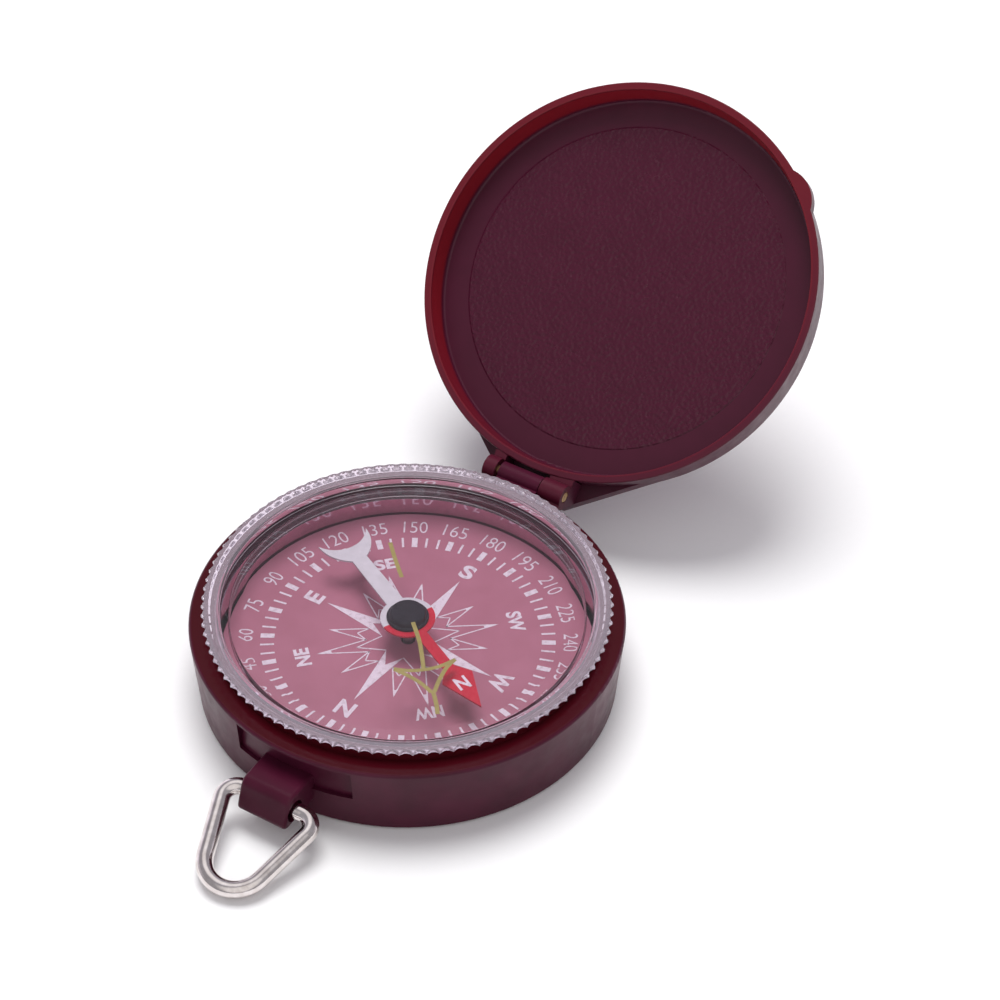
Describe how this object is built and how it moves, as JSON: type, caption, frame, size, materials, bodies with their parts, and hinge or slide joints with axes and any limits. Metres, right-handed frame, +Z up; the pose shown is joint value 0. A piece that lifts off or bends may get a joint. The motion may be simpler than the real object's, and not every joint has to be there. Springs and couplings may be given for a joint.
{
  "type": "pocket compass",
  "caption": "Round pocket compass with a hinged lid opened back, a clear turning crystal with a scalloped rim, a printed dial, a pivoted needle and a wire lanyard ring.",
  "frame": {"origin": "centre of the case's flat underside", "axes": "+Z up out of the dial, +Y towards the lid hinge, -Y towards the lug, +X along the hinge axis"},
  "size_m": [0.045, 0.0972, 0.0388],
  "materials": {
    "case_plastic": "satin moulded burgundy plastic",
    "lid_plastic": "satin moulded burgundy plastic, fine grain on the inner panel",
    "pin_brass": "drawn",
    "clear_plastic": "clear moulded plastic",
    "dial_plastic": "satin rose-red, printed in white",
    "liner_strip": "polished thin strip, faintly rose",
    "pivot_steel": "ground",
    "needle_steel": "painted red on one half, white on the other",
    "hub_plastic": "black moulded plastic",
    "cup_brass": "turned",
    "ring_wire": "plated bent wire"
  },
  "bodies": {
    "case": {"base_case": "case_plastic", "dial_card": "dial_plastic", "dial_liner": "liner_strip", "pivot_pin": "pivot_steel"},
    "lid": {"lid_shell": "lid_plastic", "hinge_pin": "pin_brass"},
    "crystal": {"crystal": "clear_plastic"},
    "needle": {"needle": "needle_steel", "hub_cap": "hub_plastic", "bearing_cup": "cup_brass"},
    "ring": {"lanyard_ring": "ring_wire"}
  },
  "joints": [
    {"name": "lid_hinge", "type": "hinge", "parent": "case", "child": "lid", "pos_m": [0, 0.02405, 0.00825], "axis": [1, 0, 0], "range_deg": [0, 138.3]},
    {"name": "crystal_turn", "type": "hinge", "parent": "case", "child": "crystal", "pos_m": [0, 0, 0], "axis": [0, 0, 1], "continuous": true},
    {"name": "needle_turn", "type": "hinge", "parent": "case", "child": "needle", "pos_m": [0, 0, 0], "axis": [0, 0, 1], "continuous": true},
    {"name": "ring_swing", "type": "hinge", "parent": "case", "child": "ring", "pos_m": [0.0003, -0.0249, 0.00372], "axis": [0.9962, 0.0697, -0.0523], "range_deg": [-110.5, 81]}
  ]
}
